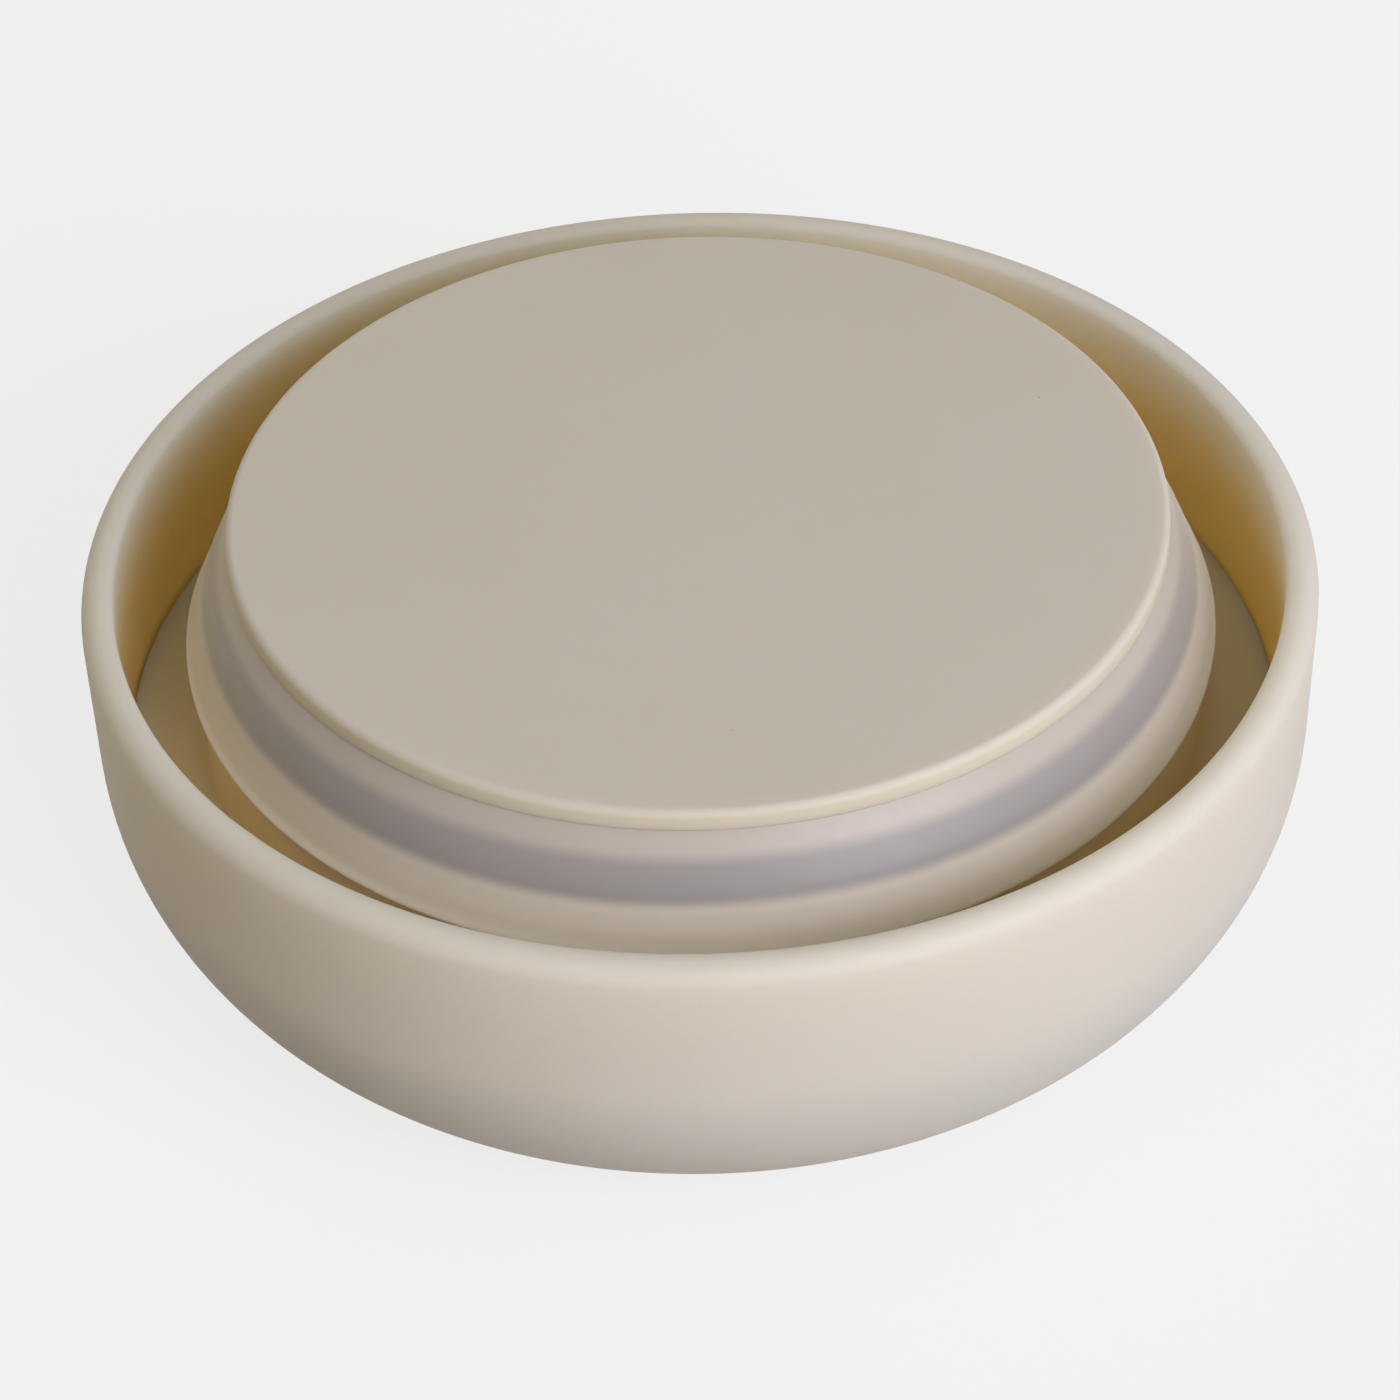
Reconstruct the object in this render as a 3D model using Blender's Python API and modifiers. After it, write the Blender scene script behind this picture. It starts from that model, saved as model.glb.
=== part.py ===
# Round cheese mould with a spring-loaded press follower.
# Metres, +Z up. The mould stands on z = 0 and every turned piece shares the Z axis.

import math

import bmesh
import bpy
from mathutils import Matrix, Vector

mm = 0.001

# Fits
clearance = 0.3 * mm
stop_room = 1.0 * mm

# Mould body
rim_radius = 125.0 * mm
rim_wall = 6.8 * mm
rim_rounding = 3.0 * mm
mould_height = 83.0 * mm
outer_draft = math.radians(2.05)
outer_corner = 53.0 * mm
inner_corner = 43.0 * mm
floor_thickness = 7.0 * mm
drain_hole_radius = 1.0 * mm
inner_drain_count = 6
inner_drain_circle = 28.0 * mm
outer_drain_count = 12
outer_drain_circle = 52.0 * mm

# Follower plate
flange_drop = 37.6 * mm
flange_thickness = 6.0 * mm
neck_radius = 102.0 * mm
neck_wall = 8.0 * mm
neck_fillet = 3.0 * mm
neck_top_drop = 4.8 * mm
hub_wall = 5.0 * mm
hub_rise = 24.6 * mm
hub_ring_thickness = 10.0 * mm
hub_fillet = 2.0 * mm

# Silicone sleeve
sleeve_thickness = 2.0 * mm
sleeve_flare = math.radians(22.7)
lip_drop = 15.0 * mm
lip_radius = 104.4 * mm
bead_depth = 1.2 * mm
bead_height = 3.0 * mm

# Press cap
cap_radius = 94.7 * mm
cap_rise = 13.5 * mm
cap_edge = 4.6 * mm
cap_rounding = 0.9 * mm
cap_under_rounding = 0.5 * mm
cap_travel = 6.0 * mm
spigot_wall = 8.0 * mm
boss_radius = 27.0 * mm
boss_depth = 5.4 * mm
cap_rib_count = 12
cap_rib_thickness = 4.0 * mm
cap_rib_height = 4.0 * mm

# Guide stem, bush and stop
stem_radius = 10.0 * mm
stem_flange_radius = 25.0 * mm
stem_flange_thickness = 4.0 * mm
bush_wall = 2.4 * mm
bush_flange_width = 5.0 * mm
bush_flange_thickness = 2.0 * mm
stop_washer_radius = 16.2 * mm
stop_washer_thickness = 3.0 * mm
stop_screw_radius = 4.0 * mm
stop_screw_length = 13.0 * mm
stop_head_radius = 7.0 * mm
stop_head_height = 5.0 * mm
cover_thickness = 5.0 * mm
seal_radius = 0.8 * mm

# Stem screws
screw_count = 4
screw_circle = 19.0 * mm
screw_radius = 2.5 * mm
screw_length = 9.0 * mm
screw_head_radius = 4.6 * mm
screw_head_height = 2.2 * mm

# Press spring and its seats
wire_radius = 2.5 * mm
coil_radius = 46.0 * mm
coil_turns = 4
seat_thickness = 1.5 * mm
seat_margin = 3.0 * mm

# Smoothness
large_segments = 64
small_segments = 32
hole_segments = 12
points_per_turn = 20

# Heights and radii that follow from the sizes above
bowl_radius = rim_radius - rim_wall
flange_top = mould_height - flange_drop
flange_bottom = flange_top - flange_thickness
neck_top = mould_height - neck_top_drop
lip_height = mould_height - lip_drop
cap_top = mould_height + cap_rise
cap_under = cap_top - cap_edge
spigot_bottom = neck_top + cap_travel + stop_room
boss_bottom = cap_under - boss_depth
hub_top = flange_top + hub_rise
hub_ring_bottom = hub_top - hub_ring_thickness
bush_bore = stem_radius + clearance
bush_radius = bush_bore + bush_wall
hub_bore = bush_radius + clearance
recess_radius = stop_washer_radius + clearance
hub_radius = recess_radius + hub_wall
neck_bore = neck_radius - neck_wall
stem_end = hub_ring_bottom
washer_top = stem_end - clearance
washer_bottom = washer_top - stop_washer_thickness
stem_flange_top = boss_bottom - clearance
stem_flange_bottom = stem_flange_top - stem_flange_thickness
seat_inner = coil_radius - wire_radius - seat_margin
seat_outer = coil_radius + wire_radius + seat_margin
lower_seat_bottom = flange_top + clearance
upper_seat_top = cap_under - clearance


def bowl_inner_radius(height):
    """Radius of the bowl's inside at a height above the floor."""
    arc_height = floor_thickness + inner_corner
    below = max(0.0, arc_height - height)
    return bowl_radius - inner_corner + math.sqrt(inner_corner ** 2 - below ** 2)


def sleeve_outer_radius(height):
    """Radius of the sleeve's flared outside at a height."""
    return lip_radius - (height - lip_height) * math.tan(sleeve_flare)


def sleeve_inner_radius(height):
    """Radius of the sleeve's flared inside at a height."""
    return sleeve_outer_radius(height) - sleeve_thickness / math.cos(sleeve_flare)


def sleeve_seat_radius(height):
    """Radius of the cone that the sleeve is stretched over at a height."""
    return sleeve_inner_radius(height) - clearance / math.cos(sleeve_flare)


def clear_scene():
    for item in list(bpy.data.objects):
        bpy.data.objects.remove(item, do_unlink=True)


def new_collection(name):
    group = bpy.data.collections.new(name)
    bpy.context.scene.collection.children.link(group)
    return group


def new_material(name, colour, roughness, metallic=0.0):
    material = bpy.data.materials.new(name)
    material.use_nodes = True
    shader = material.node_tree.nodes["Principled BSDF"]
    shader.inputs["Base Color"].default_value = (*colour, 1.0)
    shader.inputs["Roughness"].default_value = roughness
    shader.inputs["Metallic"].default_value = metallic
    return material


def corner_arc(before, corner, after, radius, steps):
    """Points of the arc of a radius that rounds one corner of an outline."""
    to_before = (before - corner).normalized()
    to_after = (after - corner).normalized()
    half_angle = to_before.angle(to_after) / 2.0
    centre = corner + (to_before + to_after).normalized() * radius / math.sin(half_angle)
    reach = radius / math.tan(half_angle)
    start = corner + to_before * reach - centre
    end = corner + to_after * reach - centre
    turn = start.angle_signed(end)
    return [centre + Matrix.Rotation(-turn * step / steps, 2) @ start for step in range(steps + 1)]


def rounded_outline(corners, closed, steps):
    """Outline through corners of radius, height and rounding."""
    points = [Vector(corner[:2]) for corner in corners]
    outline = []
    for index, corner in enumerate(corners):
        end_point = not closed and index in (0, len(corners) - 1)
        if end_point or len(corner) == 2:
            outline.append(points[index])
            continue
        after = points[(index + 1) % len(points)]
        outline += corner_arc(points[index - 1], points[index], after, corner[2], steps)
    return outline


def add_object(name, mesh, material, collection):
    item = bpy.data.objects.new(name, mesh)
    collection.objects.link(item)
    mesh.materials.append(material)
    return item


def smooth(item):
    mesh = item.data
    mesh.shade_smooth()
    mesh.set_sharp_from_angle(angle=math.radians(35.0))


def turned(name, corners, material, collection, closed=True, segments=large_segments, steps=4):
    """Solid of revolution about Z; corners run down the outer side from the top."""
    outline = rounded_outline(corners, closed, steps)
    count = len(outline)
    edges = [(index, index + 1) for index in range(count - 1)]
    if closed:
        edges.append((count - 1, 0))
    mesh = bpy.data.meshes.new(name)
    mesh.from_pydata([(point.x, 0.0, point.y) for point in outline], edges, [])
    item = add_object(name, mesh, material, collection)
    screw = item.modifiers.new("turn", "SCREW")
    screw.axis = "Z"
    screw.angle = math.tau
    screw.steps = segments
    screw.render_steps = segments
    screw.use_merge_vertices = True
    screw.merge_threshold = 0.00001
    screw.use_smooth_shade = True
    return item


def as_cutter(item):
    item.hide_render = True
    item.display_type = "WIRE"
    return item


def combine(item, other, operation):
    change = item.modifiers.new(operation.lower(), "BOOLEAN")
    change.operation = operation
    change.solver = "EXACT"
    change.object = other


def hole_cutter(name, rings, radius, bottom, top, collection):
    """Upright cylinders in rings of count and circle radius."""
    work = bmesh.new()
    for count, circle in rings:
        for index in range(count):
            angle = math.tau * (index + 0.5) / count
            centre = (circle * math.cos(angle), circle * math.sin(angle), (bottom + top) / 2.0)
            bmesh.ops.create_cone(
                work, cap_ends=True, segments=hole_segments, radius1=radius, radius2=radius,
                depth=top - bottom, matrix=Matrix.Translation(centre))
    mesh = bpy.data.meshes.new(name)
    work.to_mesh(mesh)
    work.free()
    return as_cutter(add_object(name, mesh, cream_plastic, collection))


def radial_ribs(name, count, inner, outer, bottom, top, collection):
    """Upright plates set round the axis, between two radii and two heights."""
    work = bmesh.new()
    size = Matrix.Diagonal((outer - inner, cap_rib_thickness, top - bottom, 1.0))
    place = Matrix.Translation(((inner + outer) / 2.0, 0.0, (bottom + top) / 2.0))
    for index in range(count):
        turn = Matrix.Rotation(math.tau * (index + 0.5) / count, 4, "Z")
        bmesh.ops.create_cube(work, size=1.0, matrix=turn @ place @ size)
    mesh = bpy.data.meshes.new(name)
    work.to_mesh(mesh)
    work.free()
    return as_cutter(add_object(name, mesh, cream_plastic, collection))


def mould_body():
    base_radius = rim_radius - mould_height * math.tan(outer_draft)
    corners = [
        (0.0, floor_thickness),
        (bowl_radius, floor_thickness, inner_corner),
        (bowl_radius, mould_height, rim_rounding),
        (rim_radius, mould_height, rim_rounding),
        (base_radius, 0.0, outer_corner),
        (0.0, 0.0),
    ]
    body = turned("mould_body", corners, cream_plastic, parts, closed=False, steps=8)
    rings = ((inner_drain_count, inner_drain_circle), (outer_drain_count, outer_drain_circle))
    holes = hole_cutter(
        "drain_hole_cutter", rings, drain_hole_radius, -floor_thickness, 2.0 * floor_thickness, cutters)
    combine(body, holes, "DIFFERENCE")


def follower_plate():
    groove_top = lip_height + bead_height + clearance
    groove_bottom = lip_height - clearance
    edge_top = bowl_inner_radius(flange_top) - clearance
    edge_bottom = bowl_inner_radius(flange_bottom) - clearance
    corners = [
        (neck_bore, neck_top),
        (sleeve_seat_radius(neck_top), neck_top),
        (sleeve_seat_radius(groove_top), groove_top),
        (sleeve_seat_radius(groove_top) - bead_depth, groove_top),
        (sleeve_seat_radius(groove_bottom) - bead_depth, groove_bottom),
        (neck_radius, groove_bottom),
        (neck_radius, flange_top, neck_fillet),
        (edge_top, flange_top),
        (edge_bottom, flange_bottom),
        (recess_radius, flange_bottom),
        (recess_radius, hub_ring_bottom),
        (hub_bore, hub_ring_bottom),
        (hub_bore, hub_top),
        (hub_radius, hub_top),
        (hub_radius, flange_top, hub_fillet),
        (neck_bore, flange_top, neck_fillet),
    ]
    turned("follower_plate", corners, cream_plastic, parts)


def silicone_sleeve():
    top = cap_under - clearance
    bead_top = lip_height + bead_height
    corners = [
        (sleeve_inner_radius(top), top),
        (sleeve_outer_radius(top), top),
        (lip_radius, lip_height, sleeve_thickness / 3.0),
        (sleeve_inner_radius(lip_height) - bead_depth, lip_height),
        (sleeve_inner_radius(bead_top) - bead_depth, bead_top),
        (sleeve_inner_radius(bead_top), bead_top),
    ]
    turned("silicone_sleeve", corners, milky_silicone, parts)


def press_cap():
    spigot_bore = sleeve_seat_radius(cap_under) - spigot_wall
    corners = [
        (0.0, cap_top),
        (cap_radius, cap_top, cap_rounding),
        (cap_radius, cap_under, cap_under_rounding),
        (sleeve_seat_radius(cap_under), cap_under),
        (sleeve_seat_radius(spigot_bottom), spigot_bottom),
        (spigot_bore, spigot_bottom),
        (spigot_bore, cap_under),
        (boss_radius, cap_under),
        (boss_radius, boss_bottom),
        (0.0, boss_bottom),
    ]
    cap = turned("press_cap", corners, cream_plastic, parts, closed=False)
    ribs = radial_ribs(
        "cap_rib_shape", cap_rib_count, seat_outer + stop_room, spigot_bore + spigot_wall / 4.0,
        cap_under - cap_rib_height, cap_under + cap_edge / 2.0, cutters)
    combine(cap, ribs, "UNION")
    hole_top = stem_flange_bottom + screw_length + stop_room
    holes = hole_cutter(
        "cap_hole_cutter", ((screw_count, screw_circle),), screw_radius + clearance,
        boss_bottom - boss_depth, hole_top, cutters)
    combine(cap, holes, "DIFFERENCE")


def guide_stem():
    tapping = stop_screw_radius + clearance
    tapping_top = washer_bottom + stop_screw_length + stop_room
    corners = [
        (0.0, stem_flange_top),
        (stem_flange_radius, stem_flange_top),
        (stem_flange_radius, stem_flange_bottom),
        (stem_radius, stem_flange_bottom, hub_fillet),
        (stem_radius, stem_end),
        (tapping, stem_end),
        (tapping, tapping_top),
        (0.0, tapping_top),
    ]
    stem = turned("guide_stem", corners, steel, parts, closed=False, segments=small_segments)
    for index in range(screw_count):
        sink = stem_screw(f"stem_sink_cutter_{index + 1}", index, clearance, cutters)
        combine(stem, as_cutter(sink), "DIFFERENCE")


def stem_screw(name, index, growth, collection):
    """Countersunk screw, its head flush with the flange's underside; growth widens it."""
    radius = screw_radius + growth
    top = stem_flange_bottom + screw_length + growth
    head_bottom = stem_flange_bottom - growth
    corners = [
        (0.0, top),
        (radius, top),
        (radius, stem_flange_bottom + screw_head_height),
        (screw_head_radius + growth, head_bottom),
        (0.0, head_bottom),
    ]
    screw = turned(name, corners, steel, collection, closed=False, segments=hole_segments)
    angle = math.tau * (index + 0.5) / screw_count
    screw.location = (screw_circle * math.cos(angle), screw_circle * math.sin(angle), 0.0)
    return screw


def guide_bush():
    flange_bottom_height = hub_top + clearance
    flange_top_height = flange_bottom_height + bush_flange_thickness
    flange_radius = bush_radius + bush_flange_width
    corners = [
        (bush_bore, flange_top_height),
        (flange_radius, flange_top_height),
        (flange_radius, flange_bottom_height),
        (bush_radius, flange_bottom_height),
        (bush_radius, hub_ring_bottom),
        (bush_bore, hub_ring_bottom),
    ]
    turned("guide_bush", corners, bearing_plastic, parts, segments=small_segments)


def stop_washer():
    bore = stop_screw_radius + clearance
    corners = [
        (bore, washer_top),
        (stop_washer_radius, washer_top),
        (stop_washer_radius, washer_bottom),
        (bore, washer_bottom),
    ]
    turned("stop_washer", corners, steel, parts, segments=small_segments)


def stop_screw():
    head_top = washer_bottom - clearance
    head_bottom = head_top - stop_head_height
    corners = [
        (0.0, head_top + stop_screw_length),
        (stop_screw_radius, head_top + stop_screw_length),
        (stop_screw_radius, head_top),
        (stop_head_radius, head_top),
        (stop_head_radius, head_bottom, stop_head_height / 3.0),
        (0.0, head_bottom),
    ]
    turned("stop_screw", corners, steel, parts, closed=False, segments=small_segments)


def hub_cover():
    cover_radius = recess_radius - clearance
    cover_top = flange_bottom + cover_thickness
    groove_half = seal_radius + clearance
    groove_floor = recess_radius - 2.0 * seal_radius - 2.0 * clearance
    middle = flange_bottom + cover_thickness / 2.0
    corners = [
        (0.0, cover_top),
        (cover_radius, cover_top),
        (cover_radius, middle + groove_half),
        (groove_floor, middle + groove_half),
        (groove_floor, middle - groove_half),
        (cover_radius, middle - groove_half),
        (cover_radius, flange_bottom),
        (0.0, flange_bottom),
    ]
    turned("hub_cover", corners, cream_plastic, parts, closed=False, segments=small_segments)
    bpy.ops.mesh.primitive_torus_add(
        location=(0.0, 0.0, middle), major_radius=recess_radius - seal_radius - clearance,
        minor_radius=seal_radius, major_segments=small_segments, minor_segments=8)
    seal = bpy.context.object
    seal.name = "cover_seal"
    seal.data.materials.append(seal_rubber)
    smooth(seal)
    for group in list(seal.users_collection):
        group.objects.unlink(seal)
    parts.objects.link(seal)


def spring_seat(name, bottom):
    corners = [
        (seat_inner, bottom + seat_thickness),
        (seat_outer, bottom + seat_thickness),
        (seat_outer, bottom),
        (seat_inner, bottom),
    ]
    turned(name, corners, steel, parts, segments=small_segments)


def press_spring():
    """Helix whose rise eases at both ends, so that the end turns lie flat."""
    start = lower_seat_bottom + seat_thickness + clearance + wire_radius
    end = upper_seat_top - seat_thickness - clearance - wire_radius
    count = coil_turns * points_per_turn
    curve = bpy.data.curves.new("press_spring", "CURVE")
    curve.dimensions = "3D"
    curve.bevel_depth = wire_radius
    curve.bevel_resolution = 1
    curve.use_fill_caps = True
    wire = curve.splines.new("POLY")
    wire.points.add(count)
    for index in range(count + 1):
        share = index / count
        angle = math.tau * coil_turns * share
        height = start + (end - start) * share * share * (3.0 - 2.0 * share)
        wire.points[index].co = (coil_radius * math.cos(angle), coil_radius * math.sin(angle), height, 1.0)
    first_turn = 1.0 / coil_turns
    end_pitch = (end - start) * first_turn * first_turn * (3.0 - 2.0 * first_turn)
    print("least gap between spring turns, mm:", round((end_pitch - 2.0 * wire_radius) / mm, 2))
    item = bpy.data.objects.new("press_spring", curve)
    curve.materials.append(steel)
    parts.objects.link(item)


clear_scene()
parts = new_collection("cheese_mould")
cutters = new_collection("cutting_shapes")

cream_plastic = new_material("cream_plastic", (0.78, 0.71, 0.58), 0.5)
milky_silicone = new_material("milky_silicone", (0.72, 0.69, 0.64), 0.4)
bearing_plastic = new_material("bearing_plastic", (0.85, 0.85, 0.82), 0.4)
seal_rubber = new_material("seal_rubber", (0.25, 0.05, 0.04), 0.6)
steel = new_material("steel", (0.6, 0.6, 0.6), 0.3, 1.0)

mould_body()
follower_plate()
silicone_sleeve()
press_cap()
guide_stem()
for screw_index in range(screw_count):
    stem_screw(f"stem_screw_{screw_index + 1}", screw_index, 0.0, parts)
guide_bush()
stop_washer()
stop_screw()
hub_cover()
spring_seat("lower_spring_seat", lower_seat_bottom)
spring_seat("upper_spring_seat", upper_seat_top - seat_thickness)
press_spring()
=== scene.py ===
import math

import bmesh
import bpy
import numpy as np
from mathutils import Matrix, Vector


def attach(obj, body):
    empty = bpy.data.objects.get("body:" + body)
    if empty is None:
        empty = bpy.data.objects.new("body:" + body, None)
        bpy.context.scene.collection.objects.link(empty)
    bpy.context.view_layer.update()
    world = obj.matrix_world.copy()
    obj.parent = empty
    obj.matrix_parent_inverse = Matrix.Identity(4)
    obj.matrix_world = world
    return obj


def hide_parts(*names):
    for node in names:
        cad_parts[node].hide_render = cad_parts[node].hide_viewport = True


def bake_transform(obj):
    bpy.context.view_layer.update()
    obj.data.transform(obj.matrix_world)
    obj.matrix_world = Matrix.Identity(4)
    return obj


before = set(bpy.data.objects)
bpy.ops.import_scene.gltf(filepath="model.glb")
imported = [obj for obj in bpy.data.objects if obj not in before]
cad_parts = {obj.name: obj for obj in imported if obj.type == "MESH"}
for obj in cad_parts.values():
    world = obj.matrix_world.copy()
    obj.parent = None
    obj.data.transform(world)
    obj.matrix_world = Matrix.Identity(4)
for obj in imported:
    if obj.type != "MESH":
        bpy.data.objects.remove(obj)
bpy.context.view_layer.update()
mm = 0.001
print("frame loaded")


# Shapes

meshing = dict(
    segments=256, sharpAngle=math.radians(38.0), poleWeld=0.0001 * mm, cutWeld=0.01 * mm, holeSides=32)


def cornerArc(before, corner, after, radius, steps):
    # arc of a radius that touches both sides of a corner, as points
    toBefore = (before - corner) / np.linalg.norm(before - corner)
    toAfter = (after - corner) / np.linalg.norm(after - corner)
    half = math.acos(float(np.clip(toBefore @ toAfter, -1.0, 1.0))) / 2.0
    middle = toBefore + toAfter
    centre = corner + middle / np.linalg.norm(middle) * radius / math.sin(half)
    start = corner + toBefore * radius / math.tan(half) - centre
    end = corner + toAfter * radius / math.tan(half) - centre
    turn = math.atan2(start[0] * end[1] - start[1] * end[0], start @ end)
    angle = math.atan2(start[1], start[0]) + turn * np.linspace(0.0, 1.0, steps + 1)
    return centre + radius * np.stack([np.cos(angle), np.sin(angle)], axis=1)


def roundedProfile(corners, closed):
    # outline through corners of radius, height and, where rounded, rounding and steps
    points = [np.array(corner[:2]) for corner in corners]
    outline = []
    for index, corner in enumerate(corners):
        if len(corner) == 2 or (not closed and index in (0, len(corners) - 1)):
            outline.append(points[index][None, :])
            continue
        after = points[(index + 1) % len(points)]
        outline.append(cornerArc(points[index - 1], points[index], after, corner[2], corner[3]))
    return np.concatenate(outline)


def latheMesh(name, profile, closed):
    # x = r cos a, y = r sin a, z = h for every profile point r, h and every angle a
    segments = meshing["segments"]
    angle = np.arange(segments) * 2.0 * np.pi / segments
    radius, height = profile[:, 0], profile[:, 1]
    grid = np.stack([
        radius[:, None] * np.cos(angle),
        radius[:, None] * np.sin(angle),
        np.broadcast_to(height[:, None], (len(profile), segments)),
    ], axis=2)
    rowCount = len(profile)
    row = np.arange(rowCount if closed else rowCount - 1)[:, None]
    nextRow = (row + 1) % rowCount
    column = np.arange(segments)[None, :]
    nextColumn = (column + 1) % segments
    faces = np.stack([
        row * segments + column, nextRow * segments + column,
        nextRow * segments + nextColumn, row * segments + nextColumn,
    ], axis=2).reshape(-1, 4)
    step = np.linalg.norm(np.diff(profile, axis=0, append=profile[:1]), axis=1)
    along = np.concatenate([[0.0], np.cumsum(step)])
    low, high = along[row], along[row + 1]
    left, right = column / segments, (column + 1) / segments
    shape = (len(row), segments)
    corners = [(left, low), (left, high), (right, high), (right, low)]
    uv = np.stack([
        np.stack([np.broadcast_to(u, shape), np.broadcast_to(v, shape)], axis=2) for u, v in corners
    ], axis=2)
    mesh = bpy.data.meshes.new(name)
    mesh.from_pydata(grid.reshape(-1, 3).tolist(), [], faces.tolist())
    layer = mesh.uv_layers.new(name="UVMap")
    layer.uv.foreach_set("vector", uv.reshape(-1).astype(np.float32))
    work = bmesh.new()
    work.from_mesh(mesh)
    bmesh.ops.remove_doubles(work, verts=work.verts, dist=meshing["poleWeld"])
    work.to_mesh(mesh)
    work.free()
    return mesh


def tubeMesh(name, path, radius, sides):
    # circles of a radius across a path, in the plane of its normal and binormal, with closed ends
    tangent = np.gradient(path, axis=0)
    tangent /= np.linalg.norm(tangent, axis=1)[:, None]
    outward = path * np.array([1.0, 1.0, 0.0])
    outward /= np.linalg.norm(outward, axis=1)[:, None]
    side = np.cross(tangent, outward)
    outward = np.cross(side, tangent)
    angle = np.arange(sides) * 2.0 * np.pi / sides
    ring = outward[:, None, :] * np.cos(angle)[:, None] + side[:, None, :] * np.sin(angle)[:, None]
    points = (path[:, None, :] + radius * ring).reshape(-1, 3)
    row = np.arange(len(path) - 1)[:, None]
    column = np.arange(sides)[None, :]
    nextColumn = (column + 1) % sides
    faces = np.stack([
        row * sides + column, row * sides + nextColumn,
        (row + 1) * sides + nextColumn, (row + 1) * sides + column,
    ], axis=2).reshape(-1, 4).tolist()
    lastRow = (len(path) - 1) * sides
    faces.append(list(range(sides - 1, -1, -1)))
    faces.append(list(range(lastRow, lastRow + sides)))
    mesh = bpy.data.meshes.new(name)
    mesh.from_pydata(points.tolist(), [], faces)
    work = bmesh.new()
    work.from_mesh(mesh)
    bmesh.ops.recalc_face_normals(work, faces=work.faces)
    work.to_mesh(mesh)
    work.free()
    return mesh


def newPiece(name, mesh, material):
    piece = bpy.data.objects.new(name, mesh)
    bpy.context.scene.collection.objects.link(piece)
    mesh.materials.append(material)
    mesh.shade_smooth()
    mesh.set_sharp_from_angle(angle=meshing["sharpAngle"])
    return piece


def joinShape(piece, shape, operation):
    # adds or cuts a helper shape, drops the helper and closes the hair-thin edges along the cut
    helper = bpy.data.objects.new("helper", shape)
    bpy.context.scene.collection.objects.link(helper)
    change = piece.modifiers.new("shape", "BOOLEAN")
    change.operation = operation
    change.solver = "EXACT"
    change.object = helper
    graph = bpy.context.evaluated_depsgraph_get()
    result = bpy.data.meshes.new_from_object(piece.evaluated_get(graph))
    piece.modifiers.clear()
    result.name = piece.name
    piece.data = result
    bpy.data.objects.remove(helper, do_unlink=True)
    work = bmesh.new()
    work.from_mesh(result)
    bmesh.ops.remove_doubles(work, verts=work.verts, dist=meshing["cutWeld"])
    bmesh.ops.dissolve_degenerate(work, edges=work.edges, dist=meshing["cutWeld"])
    work.to_mesh(result)
    work.free()
    result.set_sharp_from_angle(angle=meshing["sharpAngle"])


def holeShape(rings, radius, bottom, top):
    # upright cylinders set in rings of count and circle radius
    work = bmesh.new()
    for count, circle in rings:
        for index in range(count):
            angle = math.tau * (index + 0.5) / count
            centre = (circle * math.cos(angle), circle * math.sin(angle), (bottom + top) / 2.0)
            bmesh.ops.create_cone(
                work, cap_ends=True, segments=meshing["holeSides"], radius1=radius,
                radius2=radius, depth=top - bottom, matrix=Matrix.Translation(centre))
    mesh = bpy.data.meshes.new("holes")
    work.to_mesh(mesh)
    work.free()
    return mesh


def ribShape(count, inner, outer, bottom, top, thickness):
    # upright plates set round the axis
    work = bmesh.new()
    size = Matrix.Diagonal((outer - inner, thickness, top - bottom, 1.0))
    place = Matrix.Translation(((inner + outer) / 2.0, 0.0, (bottom + top) / 2.0))
    for index in range(count):
        turn = Matrix.Rotation(math.tau * (index + 0.5) / count, 4, "Z")
        bmesh.ops.create_cube(work, size=1.0, matrix=turn @ place @ size)
    mesh = bpy.data.meshes.new("ribs")
    work.to_mesh(mesh)
    work.free()
    return mesh


# Shader helpers

def addNode(tree, kind, **values):
    node = tree.nodes.new(kind)
    for key, value in values.items():
        setattr(node, key, value)
    return node


def mapRange(tree, source, fromLow, fromHigh, toLow, toHigh):
    node = addNode(tree, "ShaderNodeMapRange", interpolation_type="SMOOTHSTEP")
    limits = (("From Min", fromLow), ("From Max", fromHigh), ("To Min", toLow), ("To Max", toHigh))
    for name, value in limits:
        node.inputs[name].default_value = value
    tree.links.new(source, node.inputs["Value"])
    return node.outputs["Result"]


def noise(tree, vector, scale, detail):
    node = addNode(tree, "ShaderNodeTexNoise")
    node.inputs["Scale"].default_value = scale
    node.inputs["Detail"].default_value = detail
    tree.links.new(vector, node.inputs["Vector"])
    return node.outputs["Fac"]


def mixColour(tree, factor, first, second):
    node = addNode(tree, "ShaderNodeMix", data_type="RGBA")
    tree.links.new(factor, node.inputs["Factor"])
    for socket, value in ((node.inputs[6], first), (node.inputs[7], second)):
        if isinstance(value, tuple):
            socket.default_value = (*value, 1.0)
        else:
            tree.links.new(value, socket)
    return node.outputs[2]


noiseSpan = (0.3, 0.7)  # the values that most of a noise lies between
grainLook = dict(  # a noise is a scale and a detail
    cloudNoise=(16.0, 3.0), grainNoise=(1500.0, 2.0), roughness=(0.52, 0.62),
    speckScale=26.0, speckSize=(0.006, 0.011))


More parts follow.
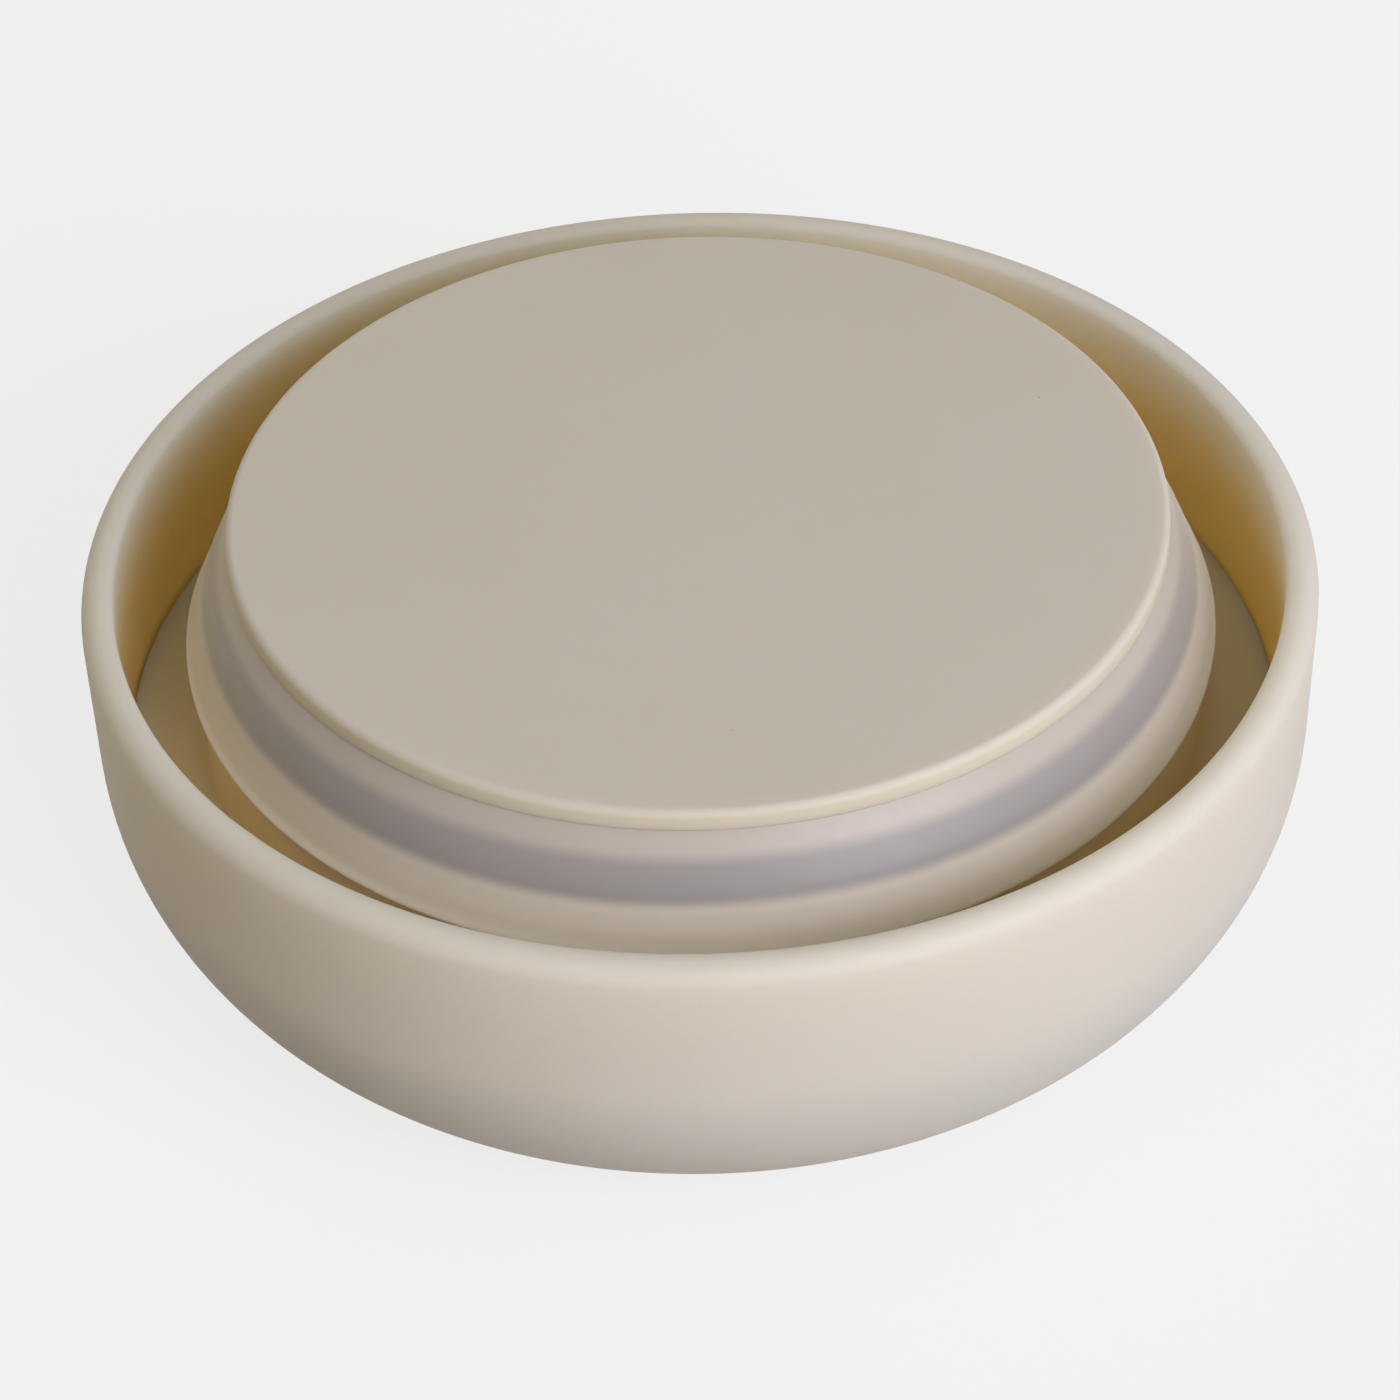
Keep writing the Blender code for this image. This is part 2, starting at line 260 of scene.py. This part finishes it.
def mouldedGrainGroup(look):
    # moulded plastic: broad clouds of tone, fine matt grain, a few trapped specks
    group = bpy.data.node_groups.new("mouldedGrain", "ShaderNodeTree")
    for name in ("Colour", "Cloud", "Speck"):
        group.interface.new_socket(name, in_out="INPUT", socket_type="NodeSocketColor")
    group.interface.new_socket("Colour", in_out="OUTPUT", socket_type="NodeSocketColor")
    for name in ("Roughness", "Height"):
        group.interface.new_socket(name, in_out="OUTPUT", socket_type="NodeSocketFloat")
    source = addNode(group, "NodeGroupInput")
    sink = addNode(group, "NodeGroupOutput")
    place = addNode(group, "ShaderNodeTexCoord").outputs["Object"]
    cloud = mapRange(group, noise(group, place, *look["cloudNoise"]), *noiseSpan, 0.0, 1.0)
    grain = noise(group, place, *look["grainNoise"])
    colour = mixColour(group, cloud, source.outputs["Colour"], source.outputs["Cloud"])
    cell = addNode(group, "ShaderNodeTexVoronoi")
    cell.inputs["Scale"].default_value = look["speckScale"]
    group.links.new(place, cell.inputs["Vector"])
    speck = mapRange(group, cell.outputs["Distance"], *look["speckSize"], 1.0, 0.0)
    colour = mixColour(group, speck, colour, source.outputs["Speck"])
    group.links.new(colour, sink.inputs["Colour"])
    group.links.new(mapRange(group, grain, *noiseSpan, *look["roughness"]), sink.inputs["Roughness"])
    group.links.new(grain, sink.inputs["Height"])
    return group


def startMaterial(name):
    material = bpy.data.materials.new(name)
    material.use_nodes = True
    shader = material.node_tree.nodes["Principled BSDF"]
    return material, material.node_tree, shader


def addBump(tree, shader, height, look):
    bump = addNode(tree, "ShaderNodeBump")
    bump.inputs["Distance"].default_value = look["bumpDepth"]
    bump.inputs["Strength"].default_value = look["bumpStrength"]
    tree.links.new(height, bump.inputs["Height"])
    tree.links.new(bump.outputs["Normal"], shader.inputs["Normal"])


reachUnit = 10.0 * mm  # reach is given in centimetres


def letLightIn(shader, look):
    # depth is the share of light that goes into the material, and reach is how far red, green and blue spread
    shader.inputs["Subsurface Weight"].default_value = look["depth"]
    shader.inputs["Subsurface Radius"].default_value = look["reach"]
    shader.inputs["Subsurface Scale"].default_value = reachUnit
    shader.inputs["Specular IOR Level"].default_value = look["gloss"]


def paintedLightMask(tree, glow):
    # 1 between two lengths along the turned outline, with a soft start and a soft end, where light and shade
    # are painted
    split = addNode(tree, "ShaderNodeSeparateXYZ")
    tree.links.new(addNode(tree, "ShaderNodeTexCoord").outputs["UV"], split.inputs[0])
    length = split.outputs["Y"]
    both = addNode(tree, "ShaderNodeMath", operation="MULTIPLY")
    rise = mapRange(tree, length, *glow["rise"], 0.0, 1.0)
    fall = mapRange(tree, length, *glow["fall"], 1.0, 0.0)
    tree.links.new(rise, both.inputs[0])
    tree.links.new(fall, both.inputs[1])
    return both.outputs[0]


def plasticMaterial(look):
    # grain over the plastic's colour, with a band of painted golden light and shade where light comes through
    # it
    material, tree, shader = startMaterial(look["name"])
    grain = addNode(tree, "ShaderNodeGroup", node_tree=mouldedGrain)
    for name in ("Colour", "Cloud", "Speck"):
        grain.inputs[name].default_value = (*look[name.lower()], 1.0)
    colour = grain.outputs["Colour"]
    # painted golden light and shade from the look's glow, mixed into the base colour
    if "glow" in look:
        colour = mixColour(tree, paintedLightMask(tree, look["glow"]), colour, look["glow"]["colour"])
    tree.links.new(colour, shader.inputs["Base Color"])
    tree.links.new(grain.outputs["Roughness"], shader.inputs["Roughness"])
    letLightIn(shader, look)
    addBump(tree, shader, grain.outputs["Height"], look)
    return material


def siliconeMaterial(look):
    # painted light and shade run down the sleeve: pale over the cap's spigot, painted shade in grey over the
    # gap, beige over the neck and painted light towards the lip where the rim shades it
    material, tree, shader = startMaterial(look["name"])
    along = addNode(tree, "ShaderNodeAttribute", attribute_name="along").outputs["Fac"]
    place = addNode(tree, "ShaderNodeTexCoord").outputs["Object"]
    drift = addNode(tree, "ShaderNodeMath", operation="MULTIPLY_ADD")
    drift.inputs[1].default_value = look["drift"]
    tree.links.new(noise(tree, place, *look["driftNoise"]), drift.inputs[0])
    tree.links.new(along, drift.inputs[2])
    ramp = addNode(tree, "ShaderNodeValToRGB")
    ramp.color_ramp.interpolation = "EASE"
    lightShadeBands = ramp.color_ramp.elements
    while len(lightShadeBands) < len(look["lightShadeBands"]):
        lightShadeBands.new(0.5)
    for band, (share, colour) in zip(lightShadeBands, look["lightShadeBands"]):
        band.position = share
        band.color = (*colour, 1.0)
    tree.links.new(drift.outputs[0], ramp.inputs["Fac"])
    tree.links.new(ramp.outputs["Color"], shader.inputs["Base Color"])
    haze = noise(tree, place, *look["hazeNoise"])
    tree.links.new(mapRange(tree, haze, *noiseSpan, *look["roughness"]), shader.inputs["Roughness"])
    letLightIn(shader, look)
    shader.inputs["Sheen Weight"].default_value = look["sheen"]
    shader.inputs["Sheen Roughness"].default_value = look["sheenRoughness"]
    shader.inputs["Sheen Tint"].default_value = (*look["sheenTint"], 1.0)
    addBump(tree, shader, haze, look)
    return material


def mottledMaterial(look):
    # two tones and a roughness that follow one noise
    material, tree, shader = startMaterial(look["name"])
    place = addNode(tree, "ShaderNodeTexCoord").outputs["Object"]
    marks = noise(tree, place, *look["markNoise"])
    tree.links.new(mixColour(tree, marks, look["dark"], look["light"]), shader.inputs["Base Color"])
    tree.links.new(mapRange(tree, marks, *noiseSpan, *look["roughness"]), shader.inputs["Roughness"])
    shader.inputs["Metallic"].default_value = look["metal"]
    if "bumpDepth" in look:
        addBump(tree, shader, marks, look)
    return material


mouldedGrain = mouldedGrainGroup(grainLook)
creamLook = dict(
    name="creamPlastic", colour=(0.785, 0.72, 0.615), cloud=(0.77, 0.705, 0.595), speck=(0.56, 0.49, 0.37),
    depth=1.0, reach=(1.0, 0.9, 0.7), gloss=0.28, bumpDepth=0.04 * mm, bumpStrength=0.25)
# painted golden light and shade: the bowl's inner wall and floor edge are darker and warmer, standing in for
# light through the wall and shade in the bowl
bowlPaintedLightShade = dict(  # lengths along the turned outline
    colour=(0.81, 0.605, 0.275), rise=(50.0 * mm, 115.0 * mm), fall=(154.0 * mm, 178.0 * mm))
# painted golden light on the follower's neck and flange, standing in for light through the plastic into the
# shaded gap
flangePaintedLight = dict(
    colour=(0.96, 0.787, 0.525), rise=(20.0 * mm, 24.0 * mm), fall=(60.0 * mm, 64.0 * mm))
# painted golden light on the cap's edge rounding and side, standing in for light through the plastic; it also
# dims the edge's highlight
capEdgePaintedLight = dict(
    colour=(0.755, 0.685, 0.525), rise=(94.0 * mm, 95.6 * mm), fall=(100.2 * mm, 101.0 * mm))
bowlLook = dict(creamLook, name="bowlPlastic", reach=(1.6, 1.45, 1.15), glow=bowlPaintedLightShade)
followerLook = dict(creamLook, name="followerPlastic", glow=flangePaintedLight)
capLook = dict(
    creamLook, name="capPlastic", colour=(0.75, 0.688, 0.588), cloud=(0.735, 0.674, 0.567),
    depth=0.5, reach=(0.5, 0.47, 0.42), glow=capEdgePaintedLight)
bearingLook = dict(
    creamLook, name="bearingPlastic", colour=(0.84, 0.84, 0.81), cloud=(0.8, 0.8, 0.77),
    speck=(0.7, 0.7, 0.68), depth=0.2, reach=(0.3, 0.3, 0.3), gloss=0.5)
# painted light and shade down the sleeve: the grey is painted shade over the dark gap, and the pale lower
# bands are painted light where the rim shades the lip
sleeveLightShadeBands = (  # share of the way down the sleeve, colour
    (0.0, (0.57, 0.513, 0.44)), (0.06, (0.59, 0.53, 0.455)), (0.178, (0.6, 0.54, 0.465)),
    (0.33, (0.385, 0.355, 0.338)), (0.54, (0.36, 0.336, 0.324)), (0.665, (0.73, 0.67, 0.56)),
    (0.85, (0.83, 0.765, 0.65)), (1.0, (0.96, 0.9, 0.77)))
siliconeLook = dict(
    name="milkySilicone", lightShadeBands=sleeveLightShadeBands, drift=0.07, driftNoise=(9.0, 2.0), hazeNoise=(400.0, 3.0),
    roughness=(0.34, 0.46), depth=0.5, reach=(0.35, 0.3, 0.25), gloss=0.4,
    sheen=1.0, sheenRoughness=0.45, sheenTint=(1.0, 0.92, 0.79), bumpDepth=0.1 * mm, bumpStrength=0.2)
steelLook = dict(
    name="turnedSteel", dark=(0.5, 0.5, 0.5), light=(0.66, 0.65, 0.63), markNoise=(700.0, 4.0),
    roughness=(0.24, 0.4), metal=1.0, bumpDepth=0.05 * mm, bumpStrength=0.3)
sealLook = dict(
    name="sealRubber", dark=(0.22, 0.045, 0.035), light=(0.3, 0.07, 0.05), markNoise=(500.0, 3.0),
    roughness=(0.5, 0.7), metal=0.0)
creamPlastic = plasticMaterial(creamLook)
bowlPlastic = plasticMaterial(bowlLook)
followerPlastic = plasticMaterial(followerLook)
capPlastic = plasticMaterial(capLook)
bearingPlastic = plasticMaterial(bearingLook)
milkySilicone = siliconeMaterial(siliconeLook)
turnedSteel = mottledMaterial(steelLook)
sealRubber = mottledMaterial(sealLook)
print("materials made")


# Mould body

mould = dict(  # a rounding is a radius and its steps, a ring of holes a count and a circle's radius
    rimRadius=125.0 * mm, wall=6.8 * mm, height=83.0 * mm, draft=math.radians(2.05), floor=7.0 * mm,
    rimInside=(1.6 * mm, 10), rimOutside=(4.2 * mm, 12),
    innerCorner=(43.0 * mm, 32), outerCorner=(53.0 * mm, 40),
    holeRadius=1.0 * mm, holeRings=((6, 28.0 * mm), (12, 52.0 * mm)))


def makeMould(size):
    # rim, drafted wall and large bottom corner as one turned outline, inside and out
    bowl = size["rimRadius"] - size["wall"]
    base = size["rimRadius"] - size["height"] * math.tan(size["draft"])
    profile = roundedProfile([
        (0.0, size["floor"]),
        (bowl, size["floor"], *size["innerCorner"]),
        (bowl, size["height"], *size["rimInside"]),
        (size["rimRadius"], size["height"], *size["rimOutside"]),
        (base, 0.0, *size["outerCorner"]),
        (0.0, 0.0),
    ], closed=False)
    piece = newPiece("mould_shell", latheMesh("mould_shell", profile, closed=False), bowlPlastic)
    holes = holeShape(size["holeRings"], size["holeRadius"], -size["floor"], 2.0 * size["floor"])
    joinShape(piece, holes, "DIFFERENCE")
    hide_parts("mould_body")
    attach(piece, "mould")


makeMould(mould)
print("mould made")


# Sleeve line shared by the sleeve, the neck and the cap

sleeve = dict(
    thickness=2.0 * mm, flare=math.radians(22.7), lipHeight=68.0 * mm, lipRadius=104.4 * mm,
    beadDepth=1.2 * mm, beadHeight=3.0 * mm, beadEdge=(0.4 * mm, 4), top=91.88 * mm, gap=0.3 * mm,
    bulge=0.5 * mm, lipRoll=0.4 * mm, lipRollReach=1.0 * mm, lipSide=0.6 * mm, lipEdge=(0.54 * mm, 6),
    points=90, stillBelow=77.0 * mm, movedAbove=86.0 * mm)


def sleeveOuter(height):
    return sleeve["lipRadius"] - (height - sleeve["lipHeight"]) * math.tan(sleeve["flare"])


def sleeveInner(height):
    return sleeveOuter(height) - sleeve["thickness"] / math.cos(sleeve["flare"])


def sleeveSeat(height):
    return sleeveInner(height) - sleeve["gap"] / math.cos(sleeve["flare"])


def makeSleeve(size):
    # flared skirt, swelled by bulge sin(pi s) and near its lip by roll exp(-(d / reach) (d / reach)),
    # for a share s of its height and a distance d above the lip, with a bead inside the lip
    share = np.linspace(0.0, 1.0, size["points"])
    lipHeight, beadTop = size["lipHeight"], size["lipHeight"] + size["beadHeight"]
    height = size["top"] + (lipHeight + size["lipSide"] - size["top"]) * share
    swell = size["bulge"] * np.sin(np.pi * share)
    swell += size["lipRoll"] * np.exp(-((height - height[-1]) / size["lipRollReach"]) ** 2)
    outside = np.stack([sleeveOuter(height) + swell, height], axis=1)
    lip = roundedProfile([
        outside[-1],
        (outside[-1, 0], lipHeight, *size["lipEdge"]),
        (sleeveInner(lipHeight) - size["beadDepth"], lipHeight, *size["beadEdge"]),
        (sleeveInner(beadTop) - size["beadDepth"], beadTop, *size["beadEdge"]),
        (sleeveInner(beadTop), beadTop),
    ], closed=False)[1:]
    innerHeight = beadTop + (size["top"] - beadTop) * share[1:]
    inside = np.stack([sleeveInner(innerHeight), innerHeight], axis=1)
    profile = np.concatenate([outside, lip, inside])
    mesh = latheMesh("sleeve_skin", profile, closed=True)
    piece = newPiece("sleeve_skin", mesh, milkySilicone)
    points = np.empty(len(mesh.vertices) * 3)
    mesh.vertices.foreach_get("co", points)
    along = (size["top"] - points[2::3]) / (size["top"] - lipHeight)
    mesh.attributes.new("along", "FLOAT", "POINT").data.foreach_set("value", along.astype(np.float32))
    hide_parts("silicone_sleeve")
    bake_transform(piece)


makeSleeve(sleeve)
print("sleeve made")


# Follower plate

follower = dict(
    flangeTop=45.4 * mm, flangeBottom=39.4 * mm, edgeTop=117.6 * mm, edgeBottom=116.6 * mm,
    neckRadius=102.0 * mm, neckBore=94.0 * mm, neckTop=78.2 * mm, seatOuter=51.5 * mm,
    hubTop=70.0 * mm, hubRadius=21.5 * mm, hubBore=13.0 * mm, ringBottom=60.0 * mm, recess=16.5 * mm,
    neckEdge=(0.8 * mm, 4), grooveEdge=(0.3 * mm, 3), neckFillet=(3.0 * mm, 12), flangeEdge=(0.5 * mm, 5),
    underEdge=(0.8 * mm, 5), recessEdge=(0.4 * mm, 3), hubEdge=(0.6 * mm, 3), hubFillet=(2.0 * mm, 6),
    cupFillet=(3.0 * mm, 6))


def makeFollower(size):
    # neck, flange, underside, hub recess and cup as one turned outline
    grooveTop = sleeve["lipHeight"] + sleeve["beadHeight"] + sleeve["gap"]
    grooveBottom = sleeve["lipHeight"] - sleeve["gap"]
    profile = roundedProfile([
        (size["neckBore"], size["neckTop"], *size["neckEdge"]),
        (sleeveSeat(size["neckTop"]), size["neckTop"], *size["neckEdge"]),
        (sleeveSeat(grooveTop), grooveTop),
        (sleeveSeat(grooveTop) - sleeve["beadDepth"], grooveTop),
        (sleeveSeat(grooveBottom) - sleeve["beadDepth"], grooveBottom),
        (size["neckRadius"], grooveBottom, *size["grooveEdge"]),
        (size["neckRadius"], size["flangeTop"], *size["neckFillet"]),
        (size["edgeTop"], size["flangeTop"], *size["flangeEdge"]),
        (size["edgeBottom"], size["flangeBottom"], *size["underEdge"]),
        (size["recess"], size["flangeBottom"], *size["recessEdge"]),
        (size["recess"], size["ringBottom"]),
        (size["hubBore"], size["ringBottom"]),
        (size["hubBore"], size["hubTop"]),
        (size["hubRadius"], size["hubTop"], *size["hubEdge"]),
        (size["hubRadius"], size["flangeTop"], *size["hubFillet"]),
        (size["neckBore"], size["flangeTop"], *size["cupFillet"]),
    ], closed=True)
    piece = newPiece("follower_shell", latheMesh("follower_shell", profile, closed=True), followerPlastic)
    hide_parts("follower_plate")
    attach(piece, "follower")


makeFollower(follower)
print("follower made")


# Press cap

cap = dict(
    radius=94.7 * mm, top=96.5 * mm, under=91.9 * mm, topEdge=(1.6 * mm, 10), underEdge=(0.5 * mm, 6),
    spigotBottom=85.2 * mm, spigotWall=8.0 * mm, spigotEdge=(0.6 * mm, 4),
    bossRadius=27.0 * mm, bossBottom=86.5 * mm, bossEdge=(0.6 * mm, 4),
    ribCount=12, ribThickness=4.0 * mm, ribBottom=87.9 * mm, ribSink=2.3 * mm,
    ribGap=1.0 * mm, ribOverlap=2.0 * mm,
    holeRings=((4, 19.0 * mm),), holeRadius=2.8 * mm, holeBottom=80.0 * mm, holeTop=92.2 * mm)


def makeCap(size):
    # disc with a softened edge, a flared spigot and a boss under it, then ribs and screw holes
    bore = sleeveSeat(size["under"]) - size["spigotWall"]
    profile = roundedProfile([
        (0.0, size["top"]),
        (size["radius"], size["top"], *size["topEdge"]),
        (size["radius"], size["under"], *size["underEdge"]),
        (sleeveSeat(size["under"]), size["under"]),
        (sleeveSeat(size["spigotBottom"]), size["spigotBottom"], *size["spigotEdge"]),
        (bore, size["spigotBottom"], *size["spigotEdge"]),
        (bore, size["under"]),
        (size["bossRadius"], size["under"]),
        (size["bossRadius"], size["bossBottom"], *size["bossEdge"]),
        (0.0, size["bossBottom"]),
    ], closed=False)
    piece = newPiece("cap_disc", latheMesh("cap_disc", profile, closed=False), capPlastic)
    ribs = ribShape(
        size["ribCount"], follower["seatOuter"] + size["ribGap"], bore + size["ribOverlap"],
        size["ribBottom"], size["under"] + size["ribSink"], size["ribThickness"])
    joinShape(piece, ribs, "UNION")
    holes = holeShape(size["holeRings"], size["holeRadius"], size["holeBottom"], size["holeTop"])
    joinShape(piece, holes, "DIFFERENCE")
    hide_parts("press_cap")
    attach(piece, "cap")


makeCap(cap)
print("cap made")


# Press spring

spring = dict(
    wireRadius=2.5 * mm, wireSides=16, coilRadius=46.0 * mm, turns=4, pointsPerTurn=48,
    bottom=50.0 * mm, top=87.3 * mm)


def makeSpring(size):
    # helix whose height eases in and out: h = s s (3 - 2 s) of the rise for a share s of the turns
    share = np.linspace(0.0, 1.0, size["turns"] * size["pointsPerTurn"] + 1)
    angle = 2.0 * np.pi * size["turns"] * share
    height = size["bottom"] + (size["top"] - size["bottom"]) * share * share * (3.0 - 2.0 * share)
    radius = size["coilRadius"]
    path = np.stack([radius * np.cos(angle), radius * np.sin(angle), height], axis=1)
    mesh = tubeMesh("spring_coil", path, size["wireRadius"], size["wireSides"])
    piece = newPiece("spring_coil", mesh, turnedSteel)
    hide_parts("press_spring")
    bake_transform(piece)


makeSpring(spring)
print("spring made")


# Hidden fittings keep their solids

fittings = dict(
    guide_stem=turnedSteel, stem_screw_1=turnedSteel, stem_screw_2=turnedSteel, stem_screw_3=turnedSteel,
    stem_screw_4=turnedSteel, stop_washer=turnedSteel, stop_screw=turnedSteel, lower_spring_seat=turnedSteel,
    upper_spring_seat=turnedSteel, guide_bush=bearingPlastic, hub_cover=creamPlastic, cover_seal=sealRubber)
for nodeName, material in fittings.items():
    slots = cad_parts[nodeName].data.materials
    slots.clear()
    slots.append(material)
print("fittings dressed")


# Floor, light and camera

stage = dict(
    floorSize=12.0, floorDrop=0.2 * mm, floorGlow=0.76, floorPale=(0.2, 0.2, 0.2),
    floorDark=(0.465, 0.407, 0.328), room=0.3, roomColour=(1.0, 0.965, 0.82), background=0.888)
white = (1.0, 1.0, 1.0, 1.0)


def seenRays(tree):
    # 1 for what the camera sees, straight or in gloss and glass, and 0 for the light thrown on the mould
    path = addNode(tree, "ShaderNodeLightPath")
    seen = path.outputs["Is Camera Ray"]
    for name in ("Is Glossy Ray", "Is Transmission Ray"):
        either = addNode(tree, "ShaderNodeMath", operation="MAXIMUM")
        tree.links.new(seen, either.inputs[0])
        tree.links.new(path.outputs[name], either.inputs[1])
        seen = either.outputs[0]
    return seen


def makeFloor(look):
    # pale for the camera, with a soft shadow; darker for the light that it throws back
    bpy.ops.mesh.primitive_plane_add(size=look["floorSize"], location=(0.0, 0.0, -look["floorDrop"]))
    floor = bpy.context.object
    floor.name = "floor"
    material, tree, shader = startMaterial("floor")
    tree.nodes.remove(shader)
    pale = addNode(tree, "ShaderNodeBsdfDiffuse")
    pale.inputs["Color"].default_value = (*look["floorPale"], 1.0)
    glow = addNode(tree, "ShaderNodeEmission")
    glow.inputs["Color"].default_value = white
    glow.inputs["Strength"].default_value = look["floorGlow"]
    seen = addNode(tree, "ShaderNodeAddShader")
    dark = addNode(tree, "ShaderNodeBsdfDiffuse")
    dark.inputs["Color"].default_value = (*look["floorDark"], 1.0)
    choose = addNode(tree, "ShaderNodeMixShader")
    tree.links.new(pale.outputs[0], seen.inputs[0])
    tree.links.new(glow.outputs[0], seen.inputs[1])
    tree.links.new(seenRays(tree), choose.inputs["Fac"])
    tree.links.new(dark.outputs[0], choose.inputs[1])
    tree.links.new(seen.outputs[0], choose.inputs[2])
    tree.links.new(choose.outputs[0], tree.nodes["Material Output"].inputs["Surface"])
    floor.data.materials.append(material)


def makeRoom(look):
    # even room light, with a pale backdrop for the camera
    world = bpy.data.worlds.new("room")
    world.use_nodes = True
    bpy.context.scene.world = world
    tree = world.node_tree
    light = tree.nodes["Background"]
    light.inputs["Color"].default_value = (*look["roomColour"], 1.0)
    light.inputs["Strength"].default_value = look["room"]
    backdrop = addNode(tree, "ShaderNodeBackground")
    backdrop.inputs["Color"].default_value = white
    backdrop.inputs["Strength"].default_value = look["background"]
    choose = addNode(tree, "ShaderNodeMixShader")
    tree.links.new(seenRays(tree), choose.inputs["Fac"])
    tree.links.new(light.outputs[0], choose.inputs[1])
    tree.links.new(backdrop.outputs[0], choose.inputs[2])
    tree.links.new(choose.outputs[0], tree.nodes["World Output"].inputs["Surface"])


keyLamp = dict(
    name="key", azimuth=math.radians(38.0), elevation=math.radians(24.0), distance=4.0, size=2.8, power=128.0,
    colour=(0.99, 0.995, 1.16), aim=(0.0, 0.0, 60.0 * mm))
fillLamp = dict(
    keyLamp, name="fill", azimuth=math.radians(205.0), elevation=math.radians(28.0), size=3.0, power=19.0,
    colour=(1.0, 0.97, 0.88))


def makeLamp(look):
    # square soft lamp that faces the mould; azimuth 0 is on the camera's side, positive to the right
    turn, lift = look["azimuth"], look["elevation"]
    toLamp = Vector((math.sin(turn) * math.cos(lift), -math.cos(turn) * math.cos(lift), math.sin(lift)))
    lamp = bpy.data.lights.new(look["name"], "AREA")
    lamp.size = look["size"]
    lamp.energy = look["power"]
    lamp.color = look["colour"]
    item = bpy.data.objects.new(look["name"], lamp)
    item.location = Vector(look["aim"]) + look["distance"] * toLamp
    item.rotation_euler = (-toLamp).to_track_quat("-Z", "Y").to_euler()
    bpy.context.scene.collection.objects.link(item)


lens = dict(
    elevation=math.radians(38.123), distance=1171.5 * mm, target=(0.0, 0.0, mould["height"]),
    focal=149.14, sensor=36.0, yaw=math.radians(0.029), pitch=math.radians(-1.4), roll=math.radians(1.752))


def makeCamera(size):
    # looks at the middle of the rim, then turns by small yaw, pitch and roll
    back = Vector((0.0, -math.cos(size["elevation"]), math.sin(size["elevation"])))
    right = Vector((1.0, 0.0, 0.0))
    forward = -back
    up = right.cross(forward)
    turn = Matrix.Rotation(size["yaw"], 3, up)
    right, forward = turn @ right, turn @ forward
    turn = Matrix.Rotation(size["pitch"], 3, right)
    up, forward = turn @ up, turn @ forward
    turn = Matrix.Rotation(size["roll"], 3, forward)
    right, up = turn @ right, turn @ up
    data = bpy.data.cameras.new("camera")
    data.sensor_width = size["sensor"]
    data.lens = size["focal"]
    camera = bpy.data.objects.new("camera", data)
    pose = Matrix((right, up, -forward)).transposed().to_4x4()
    pose.translation = Vector(size["target"]) + back * size["distance"]
    camera.matrix_world = pose
    bpy.context.scene.collection.objects.link(camera)
    bpy.context.scene.camera = camera


makeFloor(stage)
makeRoom(stage)
makeLamp(keyLamp)
makeLamp(fillLamp)
makeCamera(lens)
bpy.context.scene.view_settings.view_transform = "Standard"
print("stage set")
